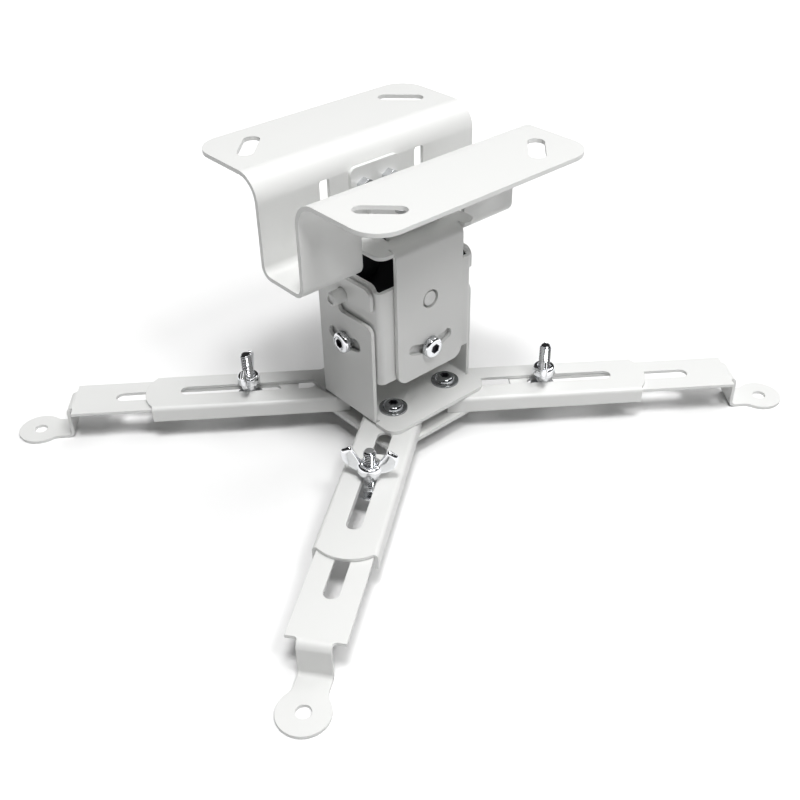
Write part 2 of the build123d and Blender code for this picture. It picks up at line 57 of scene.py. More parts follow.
arms = ["front_left", "front_right", "rear_left", "rear_right"]
mm = 0.001

# %% [markdown]
# ## The camera
# A photograph fixes a camera completely: where it stands, where it points, how it leans and how wide it
# sees. The camera looks down on the mount from its front left corner. Blender wants a rotation matrix
# whose columns are the picture's right, its up and the way back to the lens, so those three are worked
# out from the angles.

# %% Place the camera
view_azimuth = math.radians(-40.69)
view_elevation = math.radians(35.95)
view_roll = math.radians(-1.17)
view_distance = 560 * mm
view_target = Vector((14.37, 14.35, -5.33)) * mm
sensor_width = 36.0
focal_length = 45.29

back = Vector(
    (
        math.sin(view_azimuth) * math.cos(view_elevation),
        -math.cos(view_azimuth) * math.cos(view_elevation),
        math.sin(view_elevation),
    )
)
level_right = Vector((math.cos(view_azimuth), math.sin(view_azimuth), 0))
level_up = back.cross(level_right)
right = level_right * math.cos(view_roll) + level_up * math.sin(view_roll)
up = level_up * math.cos(view_roll) - level_right * math.sin(view_roll)

lens = bpy.data.cameras.new("photo_camera")
lens.sensor_width = sensor_width
lens.lens = focal_length
camera = bpy.data.objects.new("photo_camera", lens)
camera_turn = Matrix((right, up, back)).transposed().to_4x4()
camera.matrix_world = Matrix.Translation(view_target + back * view_distance) @ camera_turn
bpy.context.scene.collection.objects.link(camera)
bpy.context.scene.camera = camera
bpy.context.scene.view_settings.view_transform = "Standard"
print("camera stands at", [round(v, 4) for v in camera.matrix_world.translation])

# %% [markdown]
# ## Helpers for shader nodes
# Every finish below is a small graph of shader nodes. One helper makes a node, sets its options and fills
# or links its inputs, and a few more give the kinds of node that come up again and again as one line
# each, so that a finish reads from top to bottom like a recipe.


# %% Make and link a shader node
def shader_node(tree, kind, options=None, **inputs):
    """Add a node of a kind to a tree and set its options.

    Inputs are given by name with underscores, or by number: a socket is linked, a value set.
    """
    node = tree.nodes.new(kind)
    for name, value in (options or {}).items():
        setattr(node, name, value)
    for name, value in inputs.items():
        wanted = name.replace("_", " ")
        socket = node.inputs[int(wanted)] if wanted.isdigit() else node.inputs[wanted]
        if isinstance(value, bpy.types.NodeSocket):
            tree.links.new(value, socket)
        else:
            socket.default_value = value
    return node


def fresh_material(name):
    """A new node material with only its output node: the material, its tree and that node."""
    material = bpy.data.materials.new(name)
    material.use_nodes = True
    tree = material.node_tree
    tree.nodes.clear()
    return material, tree, tree.nodes.new("ShaderNodeOutputMaterial")


print("materials can be started")

# %% [markdown]
# Five kinds of node are used most: maths, mixes, ranges, ramps and bumps. Each gets a helper that returns
# the socket with the result, ready to be linked to the next node.


# %% Shorten the common nodes
def math_socket(tree, operation, first, second=0.0):
    """The result of a Math node on two numbers or sockets."""
    inputs = {"0": first, "1": second}
    return shader_node(tree, "ShaderNodeMath", {"operation": operation}, **inputs).outputs[0]


def mix_socket(tree, kind, share, low, high):
    """The result of a Mix node for FLOAT or RGBA: low where the share is 0 and high where it is 1."""
    first_input, result = {"FLOAT": (2, 0), "RGBA": (6, 2)}[kind]
    inputs = {"0": share, str(first_input): low, str(first_input + 1): high}
    return shader_node(tree, "ShaderNodeMix", {"data_type": kind}, **inputs).outputs[result]


def range_socket(tree, value, span, results, style="LINEAR"):
    """The result of a Map Range node: the two ends of a value's span become two results."""
    limits = {"From_Min": span[0], "From_Max": span[1], "To_Min": results[0], "To_Max": results[1]}
    options = {"interpolation_type": style}
    return shader_node(tree, "ShaderNodeMapRange", options, Value=value, **limits).outputs[0]


def ramp_socket(tree, value, positions, colours):
    """The colour of a value on a ramp with two stops."""
    ramp = shader_node(tree, "ShaderNodeValToRGB", Fac=value)
    for stop, position, colour in zip(ramp.color_ramp.elements, positions, colours):
        stop.position = position
        stop.color = (*colour, 1)
    return ramp.outputs["Color"]


def bump_socket(tree, strength, distance, height, normal):
    """The normal that a height raises on another normal."""
    inputs = {"Strength": strength, "Distance": distance, "Height": height, "Normal": normal}
    return shader_node(tree, "ShaderNodeBump", **inputs).outputs[0]


print("shader helpers are ready")

# %% [markdown]
# ## The studio
# The mount stands on a white table that sweeps up into a white background. Such a studio is bright below
# and behind the object and dark overhead, apart from the lamps, and polished metal shows just that. So
# rays from the camera see a white world, rays that a polished face throws back see white at the horizon
# that fades into a dark ceiling, and all other rays see next to nothing, because the lamps do the
# lighting.

# %% Build the world
ambient_level = 0.02
ceiling_level = 0.03
horizon_fade = (0.02, 0.3)

world = bpy.data.worlds.new("white_studio")
bpy.context.scene.world = world
world.use_nodes = True
sky = world.node_tree
sky.nodes.clear()
heading = shader_node(sky, "ShaderNodeTexCoord").outputs["Generated"]
rays = shader_node(sky, "ShaderNodeLightPath").outputs
height_of_ray = shader_node(sky, "ShaderNodeSeparateXYZ", Vector=heading).outputs["Z"]
sweep = range_socket(sky, height_of_ray, horizon_fade, (1.0, ceiling_level), "SMOOTHSTEP")
mirrored = mix_socket(sky, "FLOAT", rays["Is Glossy Ray"], ambient_level, sweep)
through = math_socket(sky, "MAXIMUM", rays["Is Camera Ray"], rays["Is Transmission Ray"])
level = mix_socket(sky, "FLOAT", through, mirrored, 1.0)
background = shader_node(sky, "ShaderNodeBackground", Color=(1, 1, 1, 1), Strength=level)
sky_output = sky.nodes.new("ShaderNodeOutputWorld")
sky.links.new(background.outputs[0], sky_output.inputs["Surface"])
print("the world", world.name, "is ready")

# %% [markdown]
# ## The table
# The table looks whiter than it bounces light, so that the undersides of the object keep their shade. Far
# from the object it glows a little, and the picture ends in plain white while the soft shadow around the
# object stays.


# %% Lay the table
def seen_directly(tree):
    """A socket that is 1 for camera, glossy and transmission rays and 0 for all others."""
    path = shader_node(tree, "ShaderNodeLightPath").outputs
    seen_or_mirrored = math_socket(tree, "MAXIMUM", path["Is Camera Ray"], path["Is Glossy Ray"])
    return math_socket(tree, "MAXIMUM", seen_or_mirrored, path["Is Transmission Ray"])


table_bounce = 0.62
glow_span = (0.2, 1.0)
table_half = 6.0
table_level = -0.05 * mm

table_paint, paint, table_output = fresh_material("table_white")
seen = seen_directly(paint)
shade = mix_socket(paint, "RGBA", seen, (table_bounce, table_bounce, table_bounce, 1), (1, 1, 1, 1))
matt = shader_node(paint, "ShaderNodeBsdfDiffuse", Color=shade)
spot = shader_node(paint, "ShaderNodeTexCoord").outputs["Object"]
away = shader_node(paint, "ShaderNodeVectorMath", {"operation": "LENGTH"}, **{"0": spot}).outputs["Value"]
far = range_socket(paint, away, glow_span, (0.0, 1.0))
glow = shader_node(paint, "ShaderNodeEmission", Strength=math_socket(paint, "MULTIPLY", far, seen))
both = shader_node(paint, "ShaderNodeAddShader", **{"0": matt.outputs[0], "1": glow.outputs[0]})
paint.links.new(both.outputs[0], table_output.inputs["Surface"])

corners = [(x * table_half, y * table_half, table_level) for x, y in ((-1, -1), (1, -1), (1, 1), (-1, 1))]
table_mesh = bpy.data.meshes.new("table")
table_mesh.from_pydata(corners, [], [(0, 1, 2, 3)])
table_mesh.materials.append(table_paint)
table = bpy.data.objects.new("table", table_mesh)
bpy.context.scene.collection.objects.link(table)
print("a table of", 2 * table_half, "m is ready")

# %% [markdown]
# ## The lamps
# A steep key light comes over the photographer's shoulder and a second one beside it softens its edge.
# Two wide boxes hang overhead, one of them out to the right, and fill the shadows. Big and near means
# soft, small and far means crisp: the key and its softener are the smallest and draw the edges of the
# slots on the table.


# %% Hang the lamps
def softbox(name, place, target, size, power):
    """A square area lamp at a place, turned to face a target."""
    lamp = bpy.data.lights.new(name, "AREA")
    lamp.size = size
    lamp.energy = power
    holder = bpy.data.objects.new(name, lamp)
    facing = (Vector(place) - Vector(target)).to_track_quat("Z", "Y").to_matrix().to_4x4()
    holder.matrix_world = Matrix.Translation(place) @ facing
    bpy.context.scene.collection.objects.link(holder)


middle = (0, 0, 0.05)
softbox("key", (-0.39, -0.52, 1.835), middle, size=0.45, power=20.5)
softbox("key_softener", (0, -1.09, 1.605), middle, size=0.45, power=11)
softbox("overhead", (0, 0, 1.5), middle, size=0.9, power=3.5)
softbox("overhead_right", (1, 0, 1.5), middle, size=1.2, power=11)
print("four lamps are aimed at", middle)

# %% [markdown]
# ## White powder coat
# Powder coat is baked plastic: white, glossy, and never quite flat, because the melted grains leave a
# fine orange peel with slower waves under it. It also rounds every sheared edge. Three noises give the
# peel, the waves and a faint change of tone, and the Bevel node rounds the normals at the edges, where
# the coat also pulls thin and lets a little grey through. Inside the small tilt box the coat is painted
# nearly black: painted shade for the deep shadow in there.

# %% Mask the inside of a room
# Nearly black: painted shade for the deep shadow inside the tilt box.
painted_shade_black = (0.014, 0.014, 0.015, 1)


def within_room(tree, place, room):
    """A socket that is 1 where x and y are within two half widths of 0 and z is above a floor."""
    axes = shader_node(tree, "ShaderNodeSeparateXYZ", Vector=place).outputs
    inside = math_socket(tree, "GREATER_THAN", axes["Z"], room[2])
    for axis, half in zip("XY", room):
        distance = math_socket(tree, "ABSOLUTE", axes[axis])
        inside = math_socket(tree, "MULTIPLY", inside, math_socket(tree, "LESS_THAN", distance, half))
    return inside


print("the mask of a room is ready")

# %% [markdown]
# The noises are scaled per metre: the peel is finer than a millimetre, the waves are about as long as a
# bolt head is wide, and the tone changes over a few centimetres. All three stay faint, because a good
# coat looks even from a step away.

# %% Mix the powder coat
peel_scale, wave_scale, tone_scale = 1500, 160, 35
noise_stops = (0.3, 0.7)
coat_tints = ((0.99, 0.995, 0.98), (0.995, 1.0, 0.985))
coat_roughness = (0.29, 0.31)
coat_bump = 0.1
edge_grey = (0.62, 0.62, 0.61, 1)
edge_cosines = (0.98, 0.72)
edge_share = 0.35


def powder_coat(name, white, peel_height, edge_radius, painted_shade_room=None):
    """A glossy baked coat: its white tone, the height of its orange peel and the radius of its edges.

    The last argument is two half widths and a floor: faces inside them are painted nearly black, as painted
    shade for the deep shadow there.
    """
    material, tree, output = fresh_material(name)
    place = shader_node(tree, "ShaderNodeTexCoord").outputs["Object"]
    noise = "ShaderNodeTexNoise"
    peel = shader_node(tree, noise, Vector=place, Scale=peel_scale, Detail=2, Roughness=0.45).outputs["Fac"]
    waves = shader_node(tree, noise, Vector=place, Scale=wave_scale, Detail=1).outputs["Fac"]
    tone = shader_node(tree, noise, Vector=place, Scale=tone_scale, Detail=3).outputs["Fac"]

    edge = shader_node(tree, "ShaderNodeBevel", {"samples": 6}, Radius=edge_radius).outputs[0]
    flat = shader_node(tree, "ShaderNodeNewGeometry").outputs["Normal"]
    both_normals = {"0": edge, "1": flat}
    turned = shader_node(tree, "ShaderNodeVectorMath", {"operation": "DOT_PRODUCT"}, **both_normals)
    thin = range_socket(tree, turned.outputs["Value"], edge_cosines, (0.0, edge_share))
    shades = ramp_socket(tree, tone, noise_stops, [[white * part for part in tint] for tint in coat_tints])
    colour = mix_socket(tree, "RGBA", thin, shades, edge_grey)
    if painted_shade_room:
        colour = mix_socket(tree, "RGBA", within_room(tree, place, painted_shade_room), colour, painted_shade_black)

    swell = bump_socket(tree, coat_bump, peel_height, waves, edge)
    grain = bump_socket(tree, coat_bump, peel_height, peel, swell)
    gloss = range_socket(tree, waves, noise_stops, coat_roughness)
    shader = "ShaderNodeBsdfPrincipled"
    coat = shader_node(tree, shader, Base_Color=colour, Roughness=gloss, IOR=1.5, Normal=grain)
    tree.links.new(coat.outputs[0], output.inputs["Surface"])
    return material


box_low, box_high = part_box("tilt_box")
just_under_sheet = 1.95 * mm
box_room = (box_high.x - just_under_sheet, box_high.y - just_under_sheet, box_low.z + just_under_sheet)
coat_white = 0.80
coat_edge = 0.3 * mm
sheet_coat = powder_coat("powder_coat", coat_white, 0.01 * mm, coat_edge)
# The tilt box and its pins are painted nearly black inside the box, as painted shade.
box_coat = powder_coat("powder_coat_painted_inner_shade", coat_white, 0.01 * mm, coat_edge, box_room)
pin_coat = powder_coat("painted_pin", coat_white, 0.015 * mm, coat_edge, box_room)
print("coats:", sheet_coat.name, box_coat.name, pin_coat.name)

# %% [markdown]
# ## Plated steel
# The fasteners are steel with a thin bright plating. Metal has no colour under its shine: the shader's
# base colour is the tint of its reflection. What tells a plated nut from a chromed one is how far it
# blurs that reflection, so each finish gets its own roughness, a mottle of small zinc crystals and fine
# scratches from the barrel in which the parts were tumbled. The arm screws get a darker tint than the
# rest, painted shade for the dark underside of the box that they mirror, and the sockets are painted
# nearly black, painted shade in their hollows.

# %% Mix the plated metals
mottle_stops = (0.25, 0.75)
crystal_share = 0.35
cloud_scale = 0.35
dull_part = 0.9
scratch_turn = (0.4, 0.9, 0.3)
scratch_scale = (260, 3200, 2400)
scratch_bump = 0.2


def plated_steel(name, tint, smooth, rough, crystal, scratch, edge_radius):
    """A metal whose roughness runs from smooth to rough over a mottle of crystals, with fine scratches."""
    material, tree, output = fresh_material(name)
    place = shader_node(tree, "ShaderNodeTexCoord").outputs["Object"]
    cells = shader_node(tree, "ShaderNodeTexVoronoi", {"feature": "F1"}, Vector=place, Scale=1 / crystal)
    cloud = shader_node(tree, "ShaderNodeTexNoise", Vector=place, Scale=cloud_scale / crystal, Detail=3)
    drawn = shader_node(tree, "ShaderNodeMapping", Vector=place, Rotation=scratch_turn, Scale=scratch_scale)
    marks = shader_node(tree, "ShaderNodeTexNoise", Vector=drawn.outputs[0], Scale=1, Detail=2)

    mottle = mix_socket(tree, "FLOAT", crystal_share, cloud.outputs["Fac"], cells.outputs["Color"])
    shades = ramp_socket(tree, mottle, mottle_stops, [[part * dull_part for part in tint], tint])
    blur = range_socket(tree, mottle, mottle_stops, (smooth, rough))
    edge = shader_node(tree, "ShaderNodeBevel", {"samples": 4}, Radius=edge_radius).outputs[0]
    relief = bump_socket(tree, scratch_bump, scratch, marks.outputs["Fac"], edge)
    shader = "ShaderNodeBsdfPrincipled"
    metal = shader_node(tree, shader, Base_Color=shades, Metallic=1.0, Roughness=blur, Normal=relief)
    tree.links.new(metal.outputs[0], output.inputs["Surface"])
    return material


bolt_plate = plated_steel("bright_bolt", (0.78, 0.79, 0.81), 0.08, 0.15, 0.9 * mm, 0.003 * mm, 0.2 * mm)
nut_plate = plated_steel("zinc_nut", (0.66, 0.67, 0.69), 0.16, 0.26, 0.7 * mm, 0.005 * mm, 0.2 * mm)
washer_plate = plated_steel("zinc_washer", (0.6, 0.61, 0.62), 0.2, 0.32, 0.6 * mm, 0.006 * mm, 0.2 * mm)
# A darker tint for the arm screws: painted shade for the dark underside of the box that they mirror.
screw_plate = plated_steel("dark_screw", (0.36, 0.37, 0.38), 0.08, 0.15, 0.9 * mm, 0.003 * mm, 0.2 * mm)
wing_plate = plated_steel("bright_wing_nut", (0.88, 0.89, 0.91), 0.06, 0.13, 1.4 * mm, 0.003 * mm, 0.3 * mm)
# Nearly black metal for the faces in the sockets: painted shade in their hollows.
socket_shade_paint = plated_steel("painted_socket_shade", (0.1, 0.1, 0.11), 0.25, 0.4, 0.6 * mm, 0.003 * mm, 0.1 * mm)
metals = (bolt_plate, nut_plate, washer_plate, screw_plate, wing_plate, socket_shade_paint)
print("metals:", [metal.name for metal in metals])

# %% [markdown]
# ## Dressing the CAD nodes
# Most of the mount is folded sheet whose CAD shape is already right. Such a node only needs its finish,
# which goes into the material slots of its object. A node is named for what it is, so its name leads to
# its finish.

# %% Give each node its finish
finishes = {
    "powder_coat": sheet_coat,
    "painted_pin": pin_coat,
    "bright_bolt": bolt_plate,
    "zinc_nut": nut_plate,
    "zinc_washer": washer_plate,
    "bright_wing_nut": wing_plate,
}
finish_words = {
    "wing_nut": "bright_wing_nut",
    "washer": "zinc_washer",
    "nuts": "zinc_nut",
    "bolt": "bright_bolt",
    "screw": "bright_bolt",
    "pin": "painted_pin",
    "stud": "painted_pin",
}


def finish_of(node_name):
    """The record's finish for a node: that of the first listed word in its name, or else the coat."""
    return next((finish for word, finish in finish_words.items() if word in node_name), "powder_coat")


for node_name, node in nodes.items():
    for material_slot in node.material_slots:
        material_slot.material = box_coat if node_name == "tilt_box" else finishes[finish_of(node_name)]
counts = {finish: sum(finish_of(name) == finish for name in nodes) for finish in finishes}
print("nodes by finish:", counts)

# %% [markdown]
# ## Surfaces from two numbers
# The pieces that CAD left plain are drawn here as grids. Every point of a grid comes from two numbers,
# one along the piece and one around it, and numpy works out all points at once. The first helper closes
# the grid around and seals its two ends with a point each. It also notes the row that each face starts
# from, so that the last rows, which line a socket, can be painted dark as shade.


# %% Close a grid
def closed_grid(rows, start, end):
    """Points, faces and the row of each face of a tube.

    rows[i, j] runs along by i and around by j, and the points start and end seal it.
    """
    along, around = rows.shape[:2]
    points = np.concatenate([rows.reshape(-1, 3), [start, end]])
    i, j = np.meshgrid(np.arange(along - 1), np.arange(around), indexing="ij")
    k = (j + 1) % around
    walls = np.stack([i * around + j, i * around + k, (i + 1) * around + k, (i + 1) * around + j], axis=-1)
    ring = np.arange(around)
    after = (ring + 1) % around
    last = (along - 1) * around
    first_fan = np.stack([after, ring, np.full(around, along * around)], axis=-1)
    last_fan = np.stack([last + ring, last + after, np.full(around, along * around + 1)], axis=-1)
    faces = walls.reshape(-1, 4).tolist() + first_fan.tolist() + last_fan.tolist()
    row_of_face = np.concatenate([i.ravel(), np.zeros(around, int), np.full(around, along - 1)])
    return points, faces, row_of_face


def sealed_in_middle(rows):
    """The closed grid of rows whose ends are sealed in the middle of the first and of the last row."""
    return closed_grid(rows, rows[0].mean(0), rows[-1].mean(0))


print("grids can be closed")

# %% [markdown]
# The second helper puts grids into one mesh. The third lets the piece stand for its CAD node and move
# with the body that carries it.

# %% Turn grids into pieces
sharp_angle = math.radians(40)
socket_rows = 3


def piece_from_grids(name, grids, material, recess_shade=None):
    """One object from several grids at the origin, shaded smooth but for its sharp edges.

    The last argument is a second material for the faces of the last rows of each grid, the rows of a
    socket: a nearly black one that paints the shade in the socket.
    """
    points = np.concatenate([grid[0] for grid in grids])
    faces = []
    offset = 0
    for grid_points, grid_faces, _ in grids:
        faces += [[index + offset for index in face] for face in grid_faces]
        offset += len(grid_points)
    mesh = bpy.data.meshes.new(name)
    mesh.from_pydata(points.tolist(), [], faces)
    mesh.materials.append(material)
    if recess_shade:
        mesh.materials.append(recess_shade)
        # The socket's rows get the second, nearly black material: painted shade.
        faces_in_shade = np.concatenate([grid[2] > grid[2].max() - socket_rows for grid in grids])
        mesh.polygons.foreach_set("material_index", faces_in_shade.astype(np.int32))
    mesh.polygons.foreach_set("use_smooth", np.ones(len(mesh.polygons), bool))
    mesh.set_sharp_from_angle(angle=sharp_angle)
    mesh.update()
    piece = bpy.data.objects.new(name, mesh)
    bpy.context.scene.collection.objects.link(piece)
    return piece


def place_piece(name, node_name, body, grids, material, recess_shade=None):
    """Make a piece from grids that takes a node's place and rides on a body."""
    piece = piece_from_grids(name, grids, material, recess_shade)
    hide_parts(node_name)
    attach(piece, body)
    print(piece.name, "has", len(piece.data.polygons), "faces")


print("pieces can be placed")

# %% [markdown]
# ## Heads with a socket
# The bolts that lock tilt and roll, and the screws on which the arms swing, are turned heads with a
# hexagon pressed into them. A head like that has a flat face, so it mirrors one side of the room in one
# tone, and only its rounded rim shows the other. One surface covers the whole bolt: a profile of radius
# and height runs from the end of the shank over the head, and its last rows change from circles to
# hexagons and dive into the socket.

# %% Turn a bolt with a socket
around_head = 60
shank_lead = 0.4 * mm
socket_flare = 1.1
socket_chamfer = 0.15 * mm
socket_depth = 2.0 * mm


def about_axis(seat, out, radius, height, turn):
    """Points around an axis through a seat: radius[i, j] away at the angle turn[j], height[i] along it."""
    across = Vector(out).orthogonal().normalized()
    aside = Vector(out).cross(across)
    spokes = np.cos(turn)[:, None] * np.array(across) + np.sin(turn)[:, None] * np.array(aside)
    return np.array(seat) + height[:, None, None] * np.array(out) + radius[..., None] * spokes


def socket_bolt(seat, out, shank_radius, shank_length, head_mm, socket_half):
    """Grid of a bolt that stands on its seat, with its head outwards.

    Shank and head are circles about the axis. The rows of the socket are hexagons: at each angle the radius
    is half the width across flats over the cosine of the angle to the middle of the nearest flat.
    """
    turn = np.linspace(0, 2 * math.pi, around_head, endpoint=False)
    lead_radius, lead_end = shank_radius - shank_lead, shank_lead - shank_length
    shank = [(lead_radius, -shank_length), (shank_radius, lead_end), (shank_radius, 0)]
    rounds = np.concatenate([np.array(shank), np.array(head_mm) * mm])
    hexagon = socket_half / np.cos((turn + math.pi / 6) % (math.pi / 3) - math.pi / 6)
    face = rounds[-1, 1]
    socket_scale = np.array([[socket_flare], [1.0], [1.0]])
    radius = np.concatenate([np.repeat(rounds[:, :1], around_head, axis=1), socket_scale * hexagon])
    height = np.concatenate([rounds[:, 1], [face, face - socket_chamfer, face - socket_depth]])
    return sealed_in_middle(about_axis(seat, out, radius, height, turn))


print("bolts can be turned")

# %% [markdown]
# The bolts that lock tilt and roll have low button heads. Each stands on its washer, so the washers' box
# says how high the bolts sit and how far out.

# %% Place the clamp bolts of the head
button_head_mm = [
    (5.3, 0.0), (5.45, 0.25), (5.45, 0.9), (5.3, 1.5), (4.95, 2.0), (4.5, 2.3), (4.0, 2.45), (3.4, 2.5),
]
button_socket_half = 2.1 * mm
button_shank_radius, button_shank_length = 2.5 * mm, 10.6 * mm
sides = (-1, 1)


def button_bolt(seat, out):
    """Grid of a socket bolt with a button head."""
    return socket_bolt(
        seat, out, button_shank_radius, button_shank_length, button_head_mm, button_socket_half
    )


low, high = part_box("tilt_clamp_washers")
bolt_height = (low.z + high.z) / 2
bolts = [button_bolt((0, side * high.y, bolt_height), (0, side, 0)) for side in sides]
place_piece(
    "socket_tilt_bolts", "tilt_clamp_bolts", "tilt_head", bolts, bolt_plate, socket_shade_paint
)

low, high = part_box("roll_clamp_washers")
bolt_height = (low.z + high.z) / 2
bolts = [button_bolt((side * high.x, 0, bolt_height), (side, 0, 0)) for side in sides]
place_piece(
    "socket_roll_bolts", "roll_clamp_bolts", "tilt_head", bolts, bolt_plate, socket_shade_paint
)

# %% [markdown]
# The arm screws have a wide thin rim under a smaller dome, like a head pressed in one piece with its
# washer.

# %% Place the arm screws
pan_head_mm = [
    (7.2, 0.0), (7.2, 0.7), (7.05, 0.95), (6.7, 1.05), (5.3, 1.15), (5.2, 1.35), (5.1, 2.0), (4.8, 2.6),
    (4.3, 3.05), (3.7, 3.3), (3.1, 3.4),
]
pan_socket_half = 2.0 * mm
screw_radius = 3.0 * mm

low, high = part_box("arm_screws")
pivot = high.x - pan_head_mm[0][0] * mm
screw_seat = high.z - pan_head_mm[-1][1] * mm
screw_length = screw_seat - low.z
screw_seats = [(x * pivot, y * pivot, screw_seat) for x in sides for y in sides]
arm_screws = [
    socket_bolt(seat, (0, 0, 1), screw_radius, screw_length, pan_head_mm, pan_socket_half)
    for seat in screw_seats
]
place_piece("socket_arm_screws", "arm_screws", "hub", arm_screws, screw_plate, socket_shade_paint)

# %% [markdown]
# ## Pins
# The painted pins on which the box tilts are turned in the same way. Their ends are stepped, so a groove
# rings each one in its hole, and dished in the middle.

# %% Turn the tilt pins
pin_end_mm = [
    (6.6, -6.5), (7.0, -6.2), (7.0, -4.55), (4.7, -4.5), (4.7, -3.4), (3.9, -3.0), (3.8, -0.8),
    (3.65, -0.45), (3.3, -0.3), (2.2, -0.3), (1.8, -0.4), (1.2, -0.6), (0.6, -0.7),
]


def turned_pin(seat, out):
    """Grid of a pin: one profile of radius and height turned about the pin's axis."""
    turn = np.linspace(0, 2 * math.pi, around_head, endpoint=False)
    profile = np.array(pin_end_mm) * mm
    radius = np.repeat(profile[:, :1], around_head, axis=1)
    return sealed_in_middle(about_axis(seat, out, radius, profile[:, 1], turn))


low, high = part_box("tilt_pins")
pin_height = (low.z + high.z) / 2
cheek_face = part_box("rear_cheek")[1].y
pins = [turned_pin((0, side * cheek_face, pin_height), (0, side, 0)) for side in sides]
place_piece("dished_tilt_pins", "tilt_pins", "tilt_head", pins, pin_coat)

# %% [markdown]
# ## Clamp bolts with real threads
# Each arm is clamped by a carriage bolt: a shallow dome below, a square neck that keeps it from turning
# in the slot, and a rolled M6 thread that stands up through the wing nut. A thread is one surface: its
# radius goes up and down with the height, and the whole pattern climbs by one pitch for each turn. Where
# the thread starts its depth fades to nothing, as a die leaves it, and its end is chamfered.

# %% Roll a thread
around_bolt = 48
dome_height, dome_radius, dome_rows = 3.3 * mm, 6.5 * mm, 12
pole_share = 0.08
neck_half, neck_height, neck_rows = 3.1 * mm, 1.8 * mm, 4
squareness = 10
row_gap = 0.02 * mm
bolt_radius = 3.0 * mm
thread_pitch, thread_depth = 1.0 * mm, 0.45 * mm
thread_gap = 0.1 * mm
rows_per_pitch = 8
crest_slope, crest_cut = 1.35, 0.12
end_chamfer = 0.9 * mm


def thread_radius(height, turn, start, length):
    """Radius of the thread at each height and turn: the bolt's radius less the depth of a flattened wave.

    The wave is a triangle in the height over the pitch minus the turn. It fades in over two pitches from
    the start, and the radius shrinks by the chamfer towards the end of the bolt.
    """
    climb = (height[:, None] / thread_pitch - turn[None, :] / (2 * math.pi)) % 1
    crest = np.clip(crest_slope * np.abs(2 * climb - 1) - crest_cut, 0, 1)
    fade_in = np.clip((height - start) / (2 * thread_pitch), 0, 1)[:, None]
    to_end = np.clip((length - height) / end_chamfer, 0, 1)[:, None]
    cut = np.maximum(thread_depth * (1 - crest) * fade_in, end_chamfer * (1 - to_end))
    return bolt_radius - cut


def carriage_bolt(base, top, heading):
    """Grid of a bolt from its dome's pole up to its end.

    Rows step through the dome (a quarter ellipse), the flat top of the head, the neck and the thread. A row
    is a circle in the dome and a rounded square in the neck: the half width over the tenth root of the sum
    of the tenth powers of cosine and sine.
    """
    length = (top - base).z
    turn = np.linspace(0, 2 * math.pi, around_bolt, endpoint=False)
    rise = np.linspace(pole_share, 1, dome_rows) * math.pi / 2
    neck_end = dome_height + neck_height
    neck = np.linspace(dome_height + row_gap, neck_end, neck_rows)
    thread = np.arange(neck_end + thread_gap, length, thread_pitch / rows_per_pitch)
    height = np.concatenate([dome_height * (1 - np.cos(rise)), neck, thread])

    powers = np.abs(np.cos(turn)) ** squareness + np.abs(np.sin(turn)) ** squareness
    square = neck_half / powers ** (1 / squareness)
    radius = np.concatenate(
        [
            np.repeat(dome_radius * np.sin(rise)[:, None], around_bolt, axis=1),
            np.repeat(square[None, :], neck_rows, axis=0),
            thread_radius(thread, turn, neck_end, length),
        ]
    )
    angle = turn[None, :] + heading
    rows = np.stack(
        [
            base.x + radius * np.cos(angle),
            base.y + radius * np.sin(angle),
            np.repeat(base.z + height[:, None], around_bolt, axis=1),
        ],
        axis=-1,
    )
    return closed_grid(rows, tuple(base), (base.x, base.y, base.z + height[-1]))


print("threads can be rolled")

# %% [markdown]
# The square necks must lie along the slots of the arms. An arm's direction is the axis along which it
# extends, and the frame's joints give that.

# %% Place the clamp bolts of the arms
arm_heading = {
    joint["name"].removeprefix("extend_"): math.atan2(joint["axis"][1], joint["axis"][0])
    for joint in frame["joints"]
    if joint["name"].startswith("extend_")
}
for arm in arms:
    low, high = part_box(f"clamp_bolt_{arm}")
    axis = (low + high) / 2
    bolt_base = Vector((axis.x, axis.y, low.z))
    bolt_top = Vector((axis.x, axis.y, high.z))
    grids = [carriage_bolt(bolt_base, bolt_top, arm_heading[arm])]
    place_piece(
        f"threaded_bolt_{arm}", f"clamp_bolt_{arm}", f"bolt_{arm}", grids, bolt_plate
    )

# %% [markdown]
# ## Wing nuts
# A wing nut is cast in one piece, so nothing on it is sharp: the hub swells out of its foot, the wings
# grow out of the hub with a wide root, thin out, and end in a rounded tip. The hub is a profile turned
# about the bolt.

# %% Turn the hub
around_hub = 56
hub_profile_mm = [
    (3.06, 0.0), (3.7, 0.0), (3.95, 0.2), (4.0, 0.6), (4.0, 2.3), (4.15, 2.75), (4.6, 3.05), (5.3, 3.3),
    (5.75, 3.7), (5.95, 4.3), (6.0, 5.0), (5.95, 5.9), (5.8, 6.8), (5.55, 7.5), (5.2, 7.95), (4.7, 8.15),
    (4.2, 8.2), (3.5, 8.2), (3.06, 7.8),
]


def turned_hub(foot):
    """Grid of a hub: a closed profile of radius and height turned about the bolt, with an open bore."""
    profile = np.array(hub_profile_mm) * mm
    turn = np.linspace(0, 2 * math.pi, around_hub, endpoint=False)
    rows = np.stack(
        [
            foot.x + profile[:, :1] * np.cos(turn),
            foot.y + profile[:, :1] * np.sin(turn),
            np.repeat(foot.z + profile[:, 1:], around_hub, axis=1),
        ],
        axis=-1,
    )
    i, j = np.meshgrid(np.arange(len(profile)), np.arange(around_hub), indexing="ij")
    k = (j + 1) % around_hub
    row, next_row = i * around_hub, (i + 1) % len(profile) * around_hub
    faces = np.stack([row + j, row + k, next_row + k, next_row + j], axis=-1)
    return rows.reshape(-1, 3), faces.reshape(-1, 4).tolist(), i.ravel()


print("the hub's profile has", len(hub_profile_mm), "points")

# %% [markdown]
# A wing is a row of rounded sections that run from the root to the tip between a lower and an upper
# curve. Each curve is drawn by three points, and the sections crowd together at the tip, where the wing
# is rounded off.

